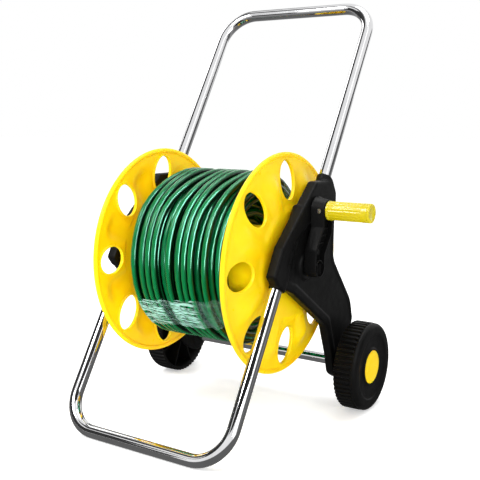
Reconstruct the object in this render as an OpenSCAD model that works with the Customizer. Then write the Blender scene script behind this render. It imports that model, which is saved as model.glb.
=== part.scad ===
// Garden hose reel cart: two bent tubes, two side brackets, a crank-driven reel and two wheels.
// X runs along the reel axis with the crank at +X, Y runs back towards the wheels, Z is up.

/* [Frame tubes] */
// Outside diameter of the frame tubes
tube_d = 22; // [20:0.5:24]
// Wall of the frame tubes
tube_wall = 1.2; // [1:0.1:2]
// Distance between the centres of the two legs
leg_span = 331; // [328:1:336]
// Lean of the legs from the vertical, in degrees
lean = 31.8; // [31:0.1:33]
// Radius of the tube bends at the centreline
bend_r = 62; // [50:1:75]
// Height of the centre of the push bar
handle_z = 757; // [720:1:790]
// How far the handle legs stand behind the front legs, measured level
leg_offset = 60; // [58:1:62]

/* [Reel] */
// Distance of the reel axis behind the bottom bar
reel_y = 238.5; // [236:0.5:241]
// Height of the reel axis
reel_z = 292; // [290:0.5:294]
// Outside radius of the flanges
flange_r = 194; // [188:1:198]
// Distance of the flange rims from the middle
flange_x = 132; // [129:1:134]
// Radius of the drum core
core_r = 63; // [60:0.5:64]
// Number of holes in each flange
hole_count = 8; // [6:1:8]
// Radius of the reel shafts
shaft_r = 10; // [8:0.5:11]

/* [Hose] */
// Outside diameter of the hose
hose_d = 12.5; // [11:0.5:12.5]
// Number of layers on the drum
hose_layers = 7; // [5:1:7]

/* [Crank] */
// Distance between the reel axis and the grip
crank_len = 99; // [85:1:110]
// Lean of the crank arm from the vertical, in degrees
crank_lean = 16; // [0:1:60]
// Radius of the grip
grip_r = 16.5; // [14:0.5:18]
// Length of the grip
grip_len = 75; // [60:1:90]

/* [Wheels] */
// Radius of the wheels over the tread
wheel_r = 82.5; // [80:0.5:86]
// Width of a wheel
wheel_w = 44; // [40:1:46]
// Number of tread ribs round a wheel
rib_count = 54; // [40:2:60]
// Distance of the wheel axle behind the bottom bar
axle_y = 392; // [388:1:396]
// Radius of the wheel axle
axle_r = 10; // [8:0.5:11]

/* [Hidden] */
$fn = 96;

// Shared sizes
clear = 0.05;                                    // running clearance of a shaft, on the radius
cut = 1;                                         // how far a cutter runs past a face
tube_r = tube_d / 2;
leg_x = leg_span / 2;
sleeve_r = tube_r + 3;                           // outside of the tube sockets
drop = cos(lean);                                // height gained per millimetre of leg
set_back = leg_offset;
handle_len = (handle_z - tube_r) / drop;         // handle leg, from the level of the bottom bar

// Stations along X on the crank side
hub_out = 149.5;                                 // outer face of the flange hub
hub_plate = 3.2;
core_end = hub_out - hub_plate;
plate_in = 163;                                  // inner face of the bracket
plate_out = 177;                                 // web of the bracket, which covers the tubes
ridge_out = 180.5;                               // raised front band of the bracket
boss_in = 158;
boss_out = 181;
arm_in = 182.5;
arm_step_1 = 186.5;                              // the crank arm narrows in two steps
arm_step_2 = 193;
arm_floor = 196;                                 // bottom of the hollow in its face
arm_out = 205;
wheel_in = 198;
wheel_out = wheel_in + wheel_w;
cap_out = wheel_out + 1.5;
grip_in = arm_out + 0.8;
grip_out = grip_in + grip_len;
cap_len = 4;                                     // end cap of the grip
pin_r = 5;

// Bearings, screws and small parts
boss_r = 24;                                     // reel boss of a bracket
bush_r = 13;
screw_r = 2;
head_r = 3.6;
head_h = 1.6;
head_sink = 2.1;
front_screw_z = 330;
handle_screw_z = 378;
leg_boss_r = 22;
leg_boss_out = 195.5;
leg_end_r = 35;
washer = 2;

// Wheel, measured from its inner side
wheel_hub_r = 17;
web_in = 31;                                     // inner face of the web
tread_r = wheel_r - 3;                           // bottom of the grooves between the tread ribs
tread_len = 32;
drum_wall = 4.5;
rib_wide = 4.8;
face_r = 62;                                     // inner edge of the raised ring of the face
cap_r = 31.5;
cap_seat = 36;
cap_hollow = 5;
dome_r = 130;
axle_end = wheel_in + cap_seat + 3;

// Water inlet
inlet_plate = 3;
inlet_step = 18;                                 // wide part, which holds the shaft and its seal
inlet_len = 30;
inlet_r = 8;
water_r = 5.5;
inlet_tip = 14;                                  // plain tip, which a hose connector slides over
inlet_screw_r = 1.5;
seal_r = 1.3;
seal_in = 5;
nut_len = 10;
end_nut_len = 16;

// Where the middle of the whole cart lies, so that the origin is under the centre of its box
mid_x = (grip_out + cap_len - cap_out) / 2;
handle_y = set_back + (handle_z - tube_r) * tan(lean);
mid_y = handle_y / 2;

// Flange
rim_r = 4.5;
hole_r = 24;                                     // half width of a flange hole
hole_pitch = 146;
hole_stretch = 10;                               // half of the hole's straight part
hub_r = 92;
hub_foot_r = 104;
hub_foot_x = 143;
wall = 3.2;
screw_ring = 53;
post_r = 7;
core_wall = 3.5;
shaft_plate_h = 4;
hex_h = 7;                                       // hexagon of the crank shaft

// Winding
layer = hose_d + 0.1;
slack = 4.3;                                     // the layers lie this much looser, all together
loft = 4.5;                                      // the outer turns hang this much above the axis
first_r = core_r + 0.65 + hose_d / 2;
winding_in = first_r - hose_d / 2;
winding_out = first_r + (hose_layers - 1) * layer + hose_d / 2 + slack;
film = 0.35;

// Inner end of the hose, in the plane of the outlet
outlet_x = -53.5;
join_turn = 300;
lead_bend = 50;
lead_turn = 110;
window = 18;                                     // slot in the core that the hose comes out of
window_turn = 88;
outlet_rise = (first_r - lead_bend) * cos(lead_turn) + lead_bend;
outlet_reach = (first_r - lead_bend) * sin(lead_turn);

// Outer end of the hose
end_x = 83;
end_r = winding_out - hose_d / 2;
end_turn = 40;                                   // where the hose starts to lift off
lift_span = 36;
end_lift = 18;
end_stop = end_turn - lift_span;

// ---------- helpers ----------

// Moves a part from the cart's own centre planes to the shared origin
module cart() {
    translate([-mid_x, -mid_y, 0]) children();
}

// Draws an outline given as (Y, Z) and gives it a thickness along X
module slab(x0, x1) {
    translate([x0, 0, 0]) rotate([90, 0, 90]) linear_extrude(x1 - x0) children();
}

// Puts a part drawn along its own Z on a line along X
module along_x(y, z, x = 0) {
    translate([x, y, z]) rotate([0, 90, 0]) children();
}

module on_reel(x = 0) {
    along_x(reel_y, reel_z, x) children();
}

// Turns a part in the plane of the reel; angles run from +Y towards +Z
module turned(a) {
    rotate([0, 0, a + 90]) children();
}

module ring(h, outer, inner) {
    difference() {
        cylinder(h = h, r = outer);
        translate([0, 0, -cut]) cylinder(h = h + 2 * cut, r = inner);
    }
}

// Slanted frame of the front legs; its own Z runs up the leg
module leg_frame(back = 0) {
    translate([0, back, tube_r]) rotate([-lean, 0, 0]) children();
}

// The round outline that joins two circles with straight sides
module link(p, r1, q, r2) {
    d = norm(q - p);
    a = atan2(q[1] - p[1], q[0] - p[0]);
    b = acos((r1 - r2) / d);
    translate(p) circle(r1);
    translate(q) circle(r2);
    polygon([
        p + r1 * [cos(a + b), sin(a + b)],
        q + r2 * [cos(a + b), sin(a + b)],
        q + r2 * [cos(a - b), sin(a - b)],
        p + r1 * [cos(a - b), sin(a - b)]
    ]);
}

// A plain tube of many flat sides that is swept along points
module sweep(points, r, sides = 8) {
    n = len(points);
    ahead = [for (i = [0:n - 1]) points[min(i + 1, n - 1)] - points[max(i - 1, 0)]];
    rings = [for (i = [0:n - 1], k = [0:sides - 1])
        let (t = ahead[i] / norm(ahead[i]), u = [1, 0, 0], v = cross(t, u))
        points[i] + r * (cos(360 * k / sides) * u + sin(360 * k / sides) * v)];
    skin = [for (i = [0:n - 2], k = [0:sides - 1])
        let (a = i * sides + k, b = i * sides + (k + 1) % sides)
        [a, b, b + sides, a + sides]];
    polyhedron(rings, concat([[for (k = [sides - 1:-1:0]) k]], skin,
        [[for (k = [0:sides - 1]) (n - 1) * sides + k]]), convexity = 6);
}

// ---------- frame tubes ----------

// A U of tube: a bar along X at Z = 0 and two legs that run up from leg_from to leg_to
module u_shape(r, leg_to, over = 0) {
    straight = leg_span - 2 * bend_r;
    translate([-straight / 2, 0, 0]) rotate([0, 90, 0]) cylinder(h = straight, r = r);
    for (side = [-1, 1]) {
        translate([side * straight / 2, 0, bend_r]) rotate([90, 0, 0]) mirror([side < 0 ? 1 : 0, 0, 0])
            rotate([0, 0, -90]) rotate_extrude(angle = 90) translate([bend_r, 0]) circle(r);
        translate([side * leg_x, 0, bend_r]) cylinder(h = leg_to - bend_r + over, r = r);
    }
}

module u_tube(leg_to) {
    difference() {
        u_shape(tube_r, leg_to);
        u_shape(tube_r - tube_wall, leg_to, cut);
    }
}

front_leg_end = (388 - tube_r) / drop;
handle_leg_end = (332 - tube_r) / drop;
front_mouth = (262 - tube_r) / drop;
handle_mouth = (438 - tube_r) / drop;

module lower_frame_tube() {
    color("silver") cart() difference() {
        leg_frame() u_tube(front_leg_end);
        for (side = [0, 1]) mirror([side, 0, 0])
            leg_hole(front_screw_z, 0, leg_x - 2 * tube_r, leg_x);
    }
}

module upper_handle_tube() {
    color("silver") cart() difference() {
        leg_frame(set_back) translate([0, 0, handle_len]) mirror([0, 0, 1])
            u_tube(handle_len - handle_leg_end);
        for (side = [0, 1]) mirror([side, 0, 0])
            leg_hole(handle_screw_z, set_back, leg_x - 2 * tube_r, leg_x);
    }
}

// ---------- brackets ----------

// Outer edge of the bracket in (Y, Z), from the top front corner and round the leg
bracket_edge = [
    [270, 435], [332, 435], [345, 412], [345, 286], [424, 199], [436, 157], [427, 84],
    [357, 84], [344, 106], [319, 170], [198, 250], [142, 272], [129, 288], [155, 334]
];
front_band = [
    [270, 435], [332, 435], [345, 412], [345, 378], [262, 372], [240, 362], [221, 352],
    [200, 340], [186, 327], [176, 314], [170, 300], [166, 264], [142, 272], [129, 288], [155, 334]
];

// Something drawn along X at a height on the centreline of a leg
module on_leg(z, back, x) {
    along_x(back + (z - tube_r) * tan(lean), z, x) children();
}

module leg_hole(z, back, x0, x1, r = screw_r) {
    on_leg(z, back, x0) cylinder(h = x1 - x0, r = r);
}

module bracket_holes() {
    leg_frame() translate([leg_x, 0, front_mouth - 10])
        cylinder(h = front_leg_end - front_mouth + 10, r = tube_r);
    leg_frame(set_back) translate([leg_x, 0, handle_leg_end])
        cylinder(h = handle_mouth - handle_leg_end + 10, r = tube_r);
    on_reel(boss_in - cut) cylinder(h = 40, r = bush_r);
    along_x(axle_y, wheel_r, boss_in - cut) cylinder(h = 50, r = axle_r);
    leg_hole(handle_screw_z, set_back, leg_x - 20, leg_x);
    leg_hole(handle_screw_z, set_back, leg_x - 20, leg_x - sleeve_r + head_sink, head_r);
    leg_hole(front_screw_z, 0, leg_x - 20, leg_x);
    leg_hole(front_screw_z, 0, leg_x - 20, leg_x - sleeve_r + head_sink, head_r);
}

module bracket() {
    difference() {
        union() {
            slab(plate_in, plate_out) polygon(bracket_edge);
            slab(plate_in, ridge_out) polygon(front_band);
            slab(plate_in, plate_out) translate([axle_y, wheel_r]) circle(leg_end_r);
            leg_frame() translate([leg_x, 0, front_mouth])
                cylinder(h = front_leg_end - front_mouth + 5, r = sleeve_r);
            leg_frame(set_back) translate([leg_x, 0, handle_leg_end - 5])
                cylinder(h = handle_mouth - handle_leg_end + 5, r = sleeve_r);
            on_reel(boss_in) cylinder(h = boss_out - boss_in, r = boss_r);
            along_x(axle_y, wheel_r, boss_in) cylinder(h = leg_boss_out - boss_in, r = leg_boss_r);
        }
        bracket_holes();
    }
}

module right_bracket() {
    color("#1c1c1c") cart() bracket();
}

module left_bracket() {
    color("#1c1c1c") cart() mirror([1, 0, 0]) difference() {
        bracket();
        inlet_screw_places() cylinder(h = 14, r = inlet_screw_r);
    }
}

// ---------- screws of the frame ----------

// A screw whose head starts at Z = 0 and whose shank runs down
module screw(shank, length, head, height) {
    translate([0, 0, -length]) cylinder(h = length, r = shank);
    difference() {
        cylinder(h = height, r = head);
        translate([0, 0, height / 2]) for (a = [0, 90]) rotate([0, 0, a])
            translate([-head * 0.6, -0.5, 0]) cube([head * 1.2, 1, height]);
    }
}

module handle_tube_screws() {
    color("silver") cart() for (side = [0, 1]) mirror([side, 0, 0])
        on_leg(handle_screw_z, set_back, leg_x - sleeve_r + head_sink) mirror([0, 0, 1])
            screw(screw_r, 7, head_r, head_sink - 0.3);
}

module frame_tube_screws() {
    color("silver") cart() for (side = [0, 1]) mirror([side, 0, 0])
        on_leg(front_screw_z, 0, leg_x - sleeve_r + head_sink) mirror([0, 0, 1])
            screw(screw_r, 7, head_r, head_sink - 0.3);
}

// ---------- axle ----------

module wheel_axle() {
    color("silver") cart() along_x(axle_y, wheel_r, -axle_end) ring(2 * axle_end, axle_r, axle_r - 1.5);
}

module axle_washers() {
    color("gray") cart() for (side = [0, 1]) mirror([side, 0, 0])
        along_x(axle_y, wheel_r, leg_boss_out) ring(washer, axle_r + 6, axle_r);
}

module axle_push_rings() {
    color("gray") cart() for (side = [0, 1]) mirror([side, 0, 0])
        along_x(axle_y, wheel_r, wheel_in + cap_seat + 0.5) ring(1.5, axle_r + 3.5, axle_r);
}

// ---------- bearings and water inlet ----------

module shaft_bush() {
    on_reel(boss_in) ring(boss_out - boss_in, bush_r, shaft_r + clear);
}

module right_shaft_bush() {
    color("white") cart() shaft_bush();
}

module left_shaft_bush() {
    color("white") cart() mirror([1, 0, 0]) shaft_bush();
}

module inlet_screw_places() {
    for (a = [90, 210, 330]) on_reel(boss_out - 10) rotate([0, 0, a])
        translate([(bush_r + boss_r) / 2, 0, 0]) children();
}

module water_inlet() {
    color("#1c1c1c") cart() mirror([1, 0, 0]) difference() {
        on_reel(boss_out) {
            cylinder(h = inlet_plate, r = boss_r - 0.5);
            cylinder(h = inlet_step, r = shaft_r + 5);
            cylinder(h = inlet_step + inlet_len, r = inlet_r);
            translate([0, 0, inlet_step + inlet_len - inlet_tip - 3]) cylinder(h = 3, r = inlet_r + 1.5);
        }
        on_reel(boss_out - cut) cylinder(h = cut + inlet_step - 5, r = shaft_r + clear);
        on_reel(boss_out + seal_in) ring(seal_r * 2 + 0.2, shaft_r + clear + 2 * seal_r, shaft_r);
        on_reel(boss_out) cylinder(h = inlet_step + inlet_len + cut, r = water_r);
        inlet_screw_places() cylinder(h = 14, r = inlet_screw_r);
    }
}

module inlet_seal_ring() {
    color("black") cart() mirror([1, 0, 0]) on_reel(boss_out + seal_in + 0.1 + seal_r)
        rotate_extrude() translate([shaft_r + clear + seal_r, 0]) circle(seal_r, $fn = 24);
}

module inlet_screws() {
    color("silver") cart() mirror([1, 0, 0]) inlet_screw_places() translate([0, 0, 10 + inlet_plate])
        screw(inlet_screw_r, 12, 2.8, 1.8);
}

// ---------- wheels ----------

module wheel() {
    along_x(axle_y, wheel_r, wheel_in) {
        rotate_extrude() polygon([
            [axle_r + clear, 0], [wheel_hub_r, 0], [wheel_hub_r, web_in],
            [tread_r - drum_wall - 3, web_in + 2.5], [tread_r - drum_wall, 0],
            [tread_r, 0], [tread_r, tread_len], [wheel_r - 1, tread_len + 1], [wheel_r - 1, tread_len + 5],
            [wheel_r - 2.5, tread_len + 9], [wheel_r - 5, wheel_w - 0.8], [wheel_r - 9, wheel_w],
            [face_r, wheel_w], [face_r - 2, wheel_w - 2.5], [cap_r + 5.5, wheel_w - 5],
            [cap_r + 2, wheel_w - 2], [cap_r, wheel_w - 2], [cap_r, cap_seat],
            [axle_r + clear, cap_seat]
        ]);
        for (k = [0:rib_count - 1]) rotate([0, 0, 360 * k / rib_count])
            translate([tread_r - 1, -rib_wide / 2, 0.4])
                cube([wheel_r - tread_r + 1, rib_wide, tread_len + 2]);
        for (k = [0:7]) rotate([0, 0, 45 * k + 22.5])
            translate([wheel_hub_r - 1, -1.5, 5])
                cube([tread_r - drum_wall - wheel_hub_r + 3, 3, web_in - 1]);
    }
}

module right_wheel() {
    color("#1c1c1c") cart() wheel();
}

module left_wheel() {
    color("#1c1c1c") cart() translate([0, 2 * axle_y, 0]) rotate([0, 0, 180]) wheel();
}

module hub_cap() {
    along_x(axle_y, wheel_r, wheel_in + cap_seat) difference() {
        intersection() {
            cylinder(h = cap_out - wheel_in - cap_seat, r = cap_r);
            translate([0, 0, cap_out - wheel_in - cap_seat - dome_r]) sphere(dome_r);
        }
        translate([0, 0, -cut]) cylinder(h = cut + cap_hollow, r = axle_r + 5);
    }
}

module right_hub_cap() {
    color("yellow") cart() hub_cap();
}

module left_hub_cap() {
    color("yellow") cart() mirror([1, 0, 0]) hub_cap();
}

// ---------- reel ----------

// One of the raised ridges between the holes of a flange: a tent whose crest falls to the rim
module ridge() {
    intersection() {
        rotate([90, 0, 0]) translate([0, 0, -20]) linear_extrude(40) polygon([
            [hub_r - 4, core_end + 1], [hub_r - 4, hub_out], [142, hub_out - 0.5], [172, 135.5],
            [176, 134.2], [hub_foot_r, hub_foot_x]
        ]);
        rotate([90, 0, 90]) linear_extrude(200) polygon([
            [-18, 131], [-3, hub_out], [3, hub_out], [18, 131]
        ]);
    }
}

module flange() {
    difference() {
        on_reel() {
            rotate_extrude() {
                translate([flange_r - rim_r, flange_x]) circle(rim_r);
                polygon([
                    [flange_r - rim_r, flange_x + wall / 2], [hub_foot_r, hub_foot_x + wall / 2],
                    [hub_r, hub_out], [shaft_r, hub_out], [shaft_r, core_end], [hub_r - 2, core_end],
                    [hub_foot_r - 3, hub_foot_x - wall / 2], [flange_r - rim_r, flange_x - wall / 2]
                ]);
            }
            for (k = [0:hole_count - 1]) turned(360 * (k + 0.5) / hole_count) ridge();
            translate([0, 0, core_end]) ring(boss_in - 0.5 - core_end, shaft_r + 6, shaft_r);
        }
        on_reel(flange_x - 20) for (k = [0:hole_count - 1]) turned(360 * k / hole_count)
            linear_extrude(60)
                link([hole_pitch - hole_stretch, 0], hole_r, [hole_pitch + hole_stretch, 0], hole_r);
        flange_screw_places() translate([0, 0, -20]) cylinder(h = 30, r = screw_r);
    }
}

module flange_screw_places() {
    for (a = [45:90:315]) on_reel(hub_out) rotate([0, 0, a]) translate([screw_ring, 0, 0]) children();
}

module right_flange() {
    color("yellow") cart() flange();
}

module left_flange() {
    color("yellow") cart() mirror([1, 0, 0]) flange();
}

module flange_screws() {
    flange_screw_places() screw(screw_r, 20, head_r, head_h);
}

module right_flange_screws() {
    color("silver") cart() flange_screws();
}

module left_flange_screws() {
    color("silver") cart() mirror([1, 0, 0]) flange_screws();
}

module drum_core() {
    color("yellow") cart() difference() {
        union() {
            on_reel(-core_end) ring(2 * core_end, core_r, core_r - core_wall);
            for (side = [0, 1]) mirror([side, 0, 0]) flange_screw_places()
                translate([0, 0, -hub_plate - shaft_plate_h - 24]) cylinder(h = 24, r = post_r);
        }
        for (side = [0, 1]) mirror([side, 0, 0]) flange_screw_places()
            translate([0, 0, -24]) cylinder(h = 30, r = screw_r);
        on_reel(outlet_x - window / 2) turned(join_turn) rotate_extrude(angle = window_turn)
            translate([core_r - core_wall - 4, 0]) square([core_wall + 8, window]);
    }
}

// Plate of a shaft, which the flange screws clamp between the flange and the posts of the core
module shaft_plate() {
    difference() {
        on_reel(core_end - shaft_plate_h) cylinder(h = shaft_plate_h, r = core_r - core_wall - 0.5);
        flange_screw_places() translate([0, 0, -20]) cylinder(h = 30, r = screw_r);
    }
}

module crank_shaft() {
    color("dimgray") cart() difference() {
        union() {
            shaft_plate();
            on_reel(core_end - shaft_plate_h) cylinder(h = arm_in - core_end + shaft_plate_h, r = shaft_r);
            on_reel(arm_in) cylinder(h = hex_h, r = shaft_r - 1, $fn = 6);
        }
        on_reel(arm_in - 10) cylinder(h = 20, r = screw_r);
    }
}

module water_shaft() {
    tip = boss_out + inlet_step - 6;
    color("dimgray") cart() difference() {
        union() {
            mirror([1, 0, 0]) shaft_plate();
            on_reel(-tip) cylinder(h = tip + outlet_x + 12, r = shaft_r);
        }
        on_reel(-tip - cut) cylinder(h = tip + cut + outlet_x + 6, r = shaft_r - 4);
        at_outlet() rotate([0, 90, 0]) cylinder(h = 2 * shaft_r, r = 4);
    }
}

// Draws in the plane of the outlet: X away from the shaft, -Y the way the hose leaves
module at_outlet() {
    on_reel(outlet_x) turned(join_turn + lead_turn) children();
}

module outlet_elbow() {
    color("#1c1c1c") cart() difference() {
        at_outlet() {
            translate([0, 0, -9]) cylinder(h = 18, r = shaft_r + 3);
            rotate([0, 90, 0]) cylinder(h = outlet_rise, r = 7);
            translate([outlet_rise, 0, 0]) sphere(7);
            translate([outlet_rise, 0, 0]) rotate([90, 0, 0]) cylinder(h = outlet_reach - nut_len, r = 7);
        }
        on_reel(outlet_x - 20) cylinder(h = 40, r = shaft_r);
        at_outlet() {
            rotate([0, 90, 0]) cylinder(h = outlet_rise, r = 4);
            translate([outlet_rise, 0, 0]) rotate([90, 0, 0]) cylinder(h = outlet_reach, r = 4);
        }
    }
}

module hose_inner_nut() {
    color("gray") cart() at_outlet() translate([outlet_rise, -outlet_reach + nut_len, 0]) rotate([90, 0, 0])
        ring(nut_len, hose_d / 2 + 3.5, hose_d / 2);
}

// Place in the reel plane at radius r and angle a, at a distance x along the axis
function reel_point(r, a, x) = [x, reel_y + r * cos(a), reel_z + r * sin(a)];

lead_steps = 9;
lead_stop = 50;                                  // where the lead dives under the winding
inner_route = concat(
    [for (s = [nut_len, nut_len / 2]) reel_point(outlet_rise, join_turn + lead_turn, outlet_x)
        - (outlet_reach - s) * [0, cos(join_turn + lead_turn + 90), sin(join_turn + lead_turn + 90)]],
    [for (k = [0:lead_steps]) let (b = lead_turn - (lead_turn - lead_stop) * k / lead_steps)
        reel_point(first_r - lead_bend, join_turn, outlet_x)
        + [0, lead_bend * cos(join_turn + b), lead_bend * sin(join_turn + b)]]
);

module hose_inner_lead() {
    color("green") cart() sweep(inner_route, hose_d / 2);
}

// Outline of the winding, as (distance from the axis, X), grown by a margin
module winding_edge(m = 0) {
    polygon([
        [winding_in - m, -60 - m], [winding_in - m, 60 + m], [112, 96 + m], [139, 96 + m],
        [winding_out + m, 90 + m], [winding_out + m, -86 - m], [139, -88 - m], [112, -88 - m]
    ]);
}

module hose_winding() {
    color("green") cart() on_reel() rotate_extrude() winding_edge();
}

module film_band(middle, span) {
    color("#c8e6dc") cart() on_reel() turned(middle - span / 2) rotate_extrude(angle = span) difference() {
        winding_edge(film + 0.05);
        winding_edge(0.05);
    }
}

module front_film_band() {
    film_band(216, 20);
}

module rear_film_band() {
    film_band(54, 16);
}

end_steps = 8;
end_grip = 12;                                   // straight end of the hose, inside the nut
end_point = reel_point(end_r + end_lift, end_stop, end_x) + [0, 0, loft];
end_way = [0, sin(end_stop), -cos(end_stop)];
end_route = concat(
    [for (k = [0:end_steps]) let (f = k / end_steps)
        reel_point(end_r + end_lift * f * f * (3 - 2 * f), end_turn - lift_span * f, end_x) + [0, 0, loft]],
    [end_point + end_grip / 2 * end_way, end_point + end_grip * end_way]
);

module hose_free_end() {
    color("green") cart() sweep(end_route, hose_d / 2);
}

// Draws along the way that the hose points where it ends
module at_hose_end(ahead) {
    translate(end_point) rotate([end_stop - 180, 0, 0]) translate([0, 0, ahead]) children();
}

module hose_end_nut() {
    color("gray") cart() at_hose_end(2) difference() {
        ring(end_nut_len, hose_d / 2 + 4, hose_d / 2);
        for (k = [0:11]) rotate([0, 0, 30 * k]) translate([hose_d / 2 + 5, 0, 4])
            cylinder(h = end_nut_len, r = 1.5);
    }
}

module hose_end_fitting() {
    color("#1c1c1c") cart() at_hose_end(2 + end_nut_len) {
        ring(14, hose_d / 2 + 3, water_r);
        translate([0, 0, 14]) ring(14, inlet_r, water_r);
    }
}

// ---------- crank ----------

// Places on the crank arm: straight up from the shaft, across to the grip's side, and up to the grip
arm_foot = [reel_y, reel_z];
arm_top = arm_foot + crank_len * [sin(crank_lean), cos(crank_lean)];
arm_neck = arm_foot + [0.5, 0.26 * crank_len];
arm_knee = arm_top - [0, 0.34 * crank_len];
arm_foot_r = 17.5;
arm_knee_r = 17;
arm_top_r = 18;
side_screw_x = 195;

// Outline of the arm, inset all round and grown at the grip's end
module arm_outline(inset = 0, grown = 0) {
    foot_r = arm_foot_r - inset;
    knee_r = arm_knee_r - inset + grown;
    link(arm_foot, foot_r, arm_neck, foot_r - 0.5);
    link(arm_neck, foot_r - 0.5, arm_knee, knee_r);
    link(arm_knee, knee_r, arm_top, arm_top_r - inset + grown);
}

module crank_arm() {
    color("#1c1c1c") cart() difference() {
        union() {
            slab(arm_in, arm_step_1) arm_outline(0, 6.5);
            slab(arm_step_1 - cut, arm_step_2) arm_outline(0, 3.5);
            slab(arm_step_2 - cut, arm_out) arm_outline();
        }
        slab(arm_floor, arm_out + cut) difference() {
            arm_outline(2.6);
            translate(arm_top) circle(pin_r + 4);
            translate(arm_foot) circle(arm_foot_r - 6);
        }
        slab(arm_floor, arm_out + cut) translate(arm_foot) circle(arm_foot_r - 8);
        on_reel(arm_in - cut) cylinder(h = hex_h + cut, r = shaft_r - 1, $fn = 6);
        on_reel(arm_in) cylinder(h = 20, r = screw_r);
        along_x(arm_top[0], arm_top[1], arm_in - cut) cylinder(h = 40, r = pin_r);
        at_side_screw() translate([0, 0, -9]) cylinder(h = 9 + cut, r = screw_r);
        at_side_screw() cylinder(h = 12, r = 4.5);
    }
}

// Draws on the side of the arm that faces the front, at the height of the grip
module at_side_screw() {
    translate([side_screw_x, arm_top[0] - arm_top_r + 2.2, arm_top[1]]) rotate([90, 0, 0]) children();
}

module crank_side_screw() {
    color("silver") cart() at_side_screw() screw(screw_r, 7, 4.2, 2);
}

module crank_washer() {
    color("silver") cart() on_reel(arm_floor) ring(1, 7, screw_r);
}

module crank_screw() {
    color("silver") cart() on_reel(arm_floor + 1) screw(screw_r, 22, 4.5, 2.2);
}

module grip_pin() {
    color("silver") cart() along_x(arm_top[0], arm_top[1], arm_in) {
        cylinder(h = grip_out - arm_in - 5, r = pin_r);
        translate([0, 0, grip_out - arm_in - 7.5]) cylinder(h = 4, r = pin_r + 3);
    }
}

module crank_grip() {
    color("yellow") cart() along_x(arm_top[0], arm_top[1], grip_in) difference() {
        union() {
            cylinder(h = grip_len, r = grip_r - 0.6);
            cylinder(h = 3, r = grip_r);
            for (k = [0:17]) rotate([0, 0, 20 * k]) translate([grip_r - 1.6, -0.9, 0])
                cube([1.55, 1.8, grip_len]);
        }
        translate([0, 0, -cut]) cylinder(h = grip_len + 2 * cut, r = pin_r + clear);
        translate([0, 0, grip_len - 8]) cylinder(h = 8 + cut, r = pin_r + 4);
    }
}

module grip_end_cap() {
    color("gold") cart() along_x(arm_top[0], arm_top[1], grip_out) {
        translate([0, 0, -2.5]) cylinder(h = 3, r = pin_r + 4);
        cylinder(h = cap_len - 1, r = grip_r);
        translate([0, 0, cap_len - 1]) cylinder(h = 1, r1 = grip_r, r2 = grip_r - 1);
    }
}

// ---------- one line for each node ----------

lower_frame_tube();
upper_handle_tube();
left_bracket();
right_bracket();
handle_tube_screws();
frame_tube_screws();
wheel_axle();
axle_washers();
axle_push_rings();
left_shaft_bush();
right_shaft_bush();
water_inlet();
inlet_seal_ring();
inlet_screws();
left_wheel();
left_hub_cap();
right_wheel();
right_hub_cap();
left_flange();
right_flange();
left_flange_screws();
right_flange_screws();
drum_core();
crank_shaft();
water_shaft();
outlet_elbow();
hose_inner_nut();
hose_inner_lead();
hose_winding();
hose_free_end();
hose_end_nut();
hose_end_fitting();
front_film_band();
rear_film_band();
crank_arm();
crank_washer();
crank_screw();
crank_side_screw();
grip_pin();
crank_grip();
grip_end_cap();
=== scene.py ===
import math
import bmesh
import bpy
from mathutils import Matrix, Vector


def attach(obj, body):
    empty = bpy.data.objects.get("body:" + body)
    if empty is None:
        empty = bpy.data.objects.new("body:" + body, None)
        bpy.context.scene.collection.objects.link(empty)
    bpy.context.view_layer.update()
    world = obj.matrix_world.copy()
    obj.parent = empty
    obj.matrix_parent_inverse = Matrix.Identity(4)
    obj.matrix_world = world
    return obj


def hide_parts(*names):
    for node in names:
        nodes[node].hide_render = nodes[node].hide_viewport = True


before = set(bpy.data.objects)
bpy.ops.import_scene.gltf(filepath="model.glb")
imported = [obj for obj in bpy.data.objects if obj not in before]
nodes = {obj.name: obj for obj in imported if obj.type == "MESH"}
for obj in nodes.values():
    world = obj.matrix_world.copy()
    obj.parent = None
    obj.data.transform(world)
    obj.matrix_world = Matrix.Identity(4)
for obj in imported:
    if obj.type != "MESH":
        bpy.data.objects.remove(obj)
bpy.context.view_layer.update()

MM = 0.001
MID_X, MID_Y = 20.65, 261.27           # the shared frame's origin in the cart's own planes, mm
REEL_Y, REEL_Z = 238.5, 292.0          # the reel's axis
WHEEL_Y, WHEEL_Z = 392.0, 82.5         # the wheels' axis
LEAN = math.radians(31.8)              # how far the legs lean from upright
TUBE_R, TUBE_WALL = 11.0, 1.2
LEG_X = 165.5                          # from the middle plane to the middle of a leg
SET_BACK = 60.0                        # the handle's legs stand this far behind the frame's
HOSE_R = 6.25
WEAVE_PER_METRE, WEAVE_ROUND = 290.0, 11.0   # threads of the hose's woven mesh, along it and round it
FILM_SPAN = 0.25                       # width over which the film's look is laid out, metres
FILM_TIGHT = [(-84, -31), (-8, 40)]    # where the film lies tight on the turns, from X to X in mm


def at(x, y, z):
    """A place given in the cart's own planes, in millimetres, in the shared frame."""
    return Vector(((x - MID_X) * MM, (y - MID_Y) * MM, z * MM))


def polar(x, r, a):
    """A place round the reel axis; angles run from the back (+Y) towards the top, in degrees."""
    a = math.radians(a)
    return at(x, REEL_Y + r * math.cos(a), REEL_Z + r * math.sin(a))


def polar_yz(middle, r, a):
    """The same in (y, z) only, round any middle, in mm."""
    a = math.radians(a)
    return (middle[0] + r * math.cos(a), middle[1] + r * math.sin(a))


def new_object(name, data):
    obj = bpy.data.objects.new(name, data)
    bpy.context.scene.collection.objects.link(obj)
    return obj


def ease(t):
    """0 to 1 with a soft start and stop; held at its ends outside that range."""
    t = min(max(t, 0.0), 1.0)
    return t * t * (3 - 2 * t)


def mix(a, b, t):
    return a + (b - a) * t


# ---------- camera

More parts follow.
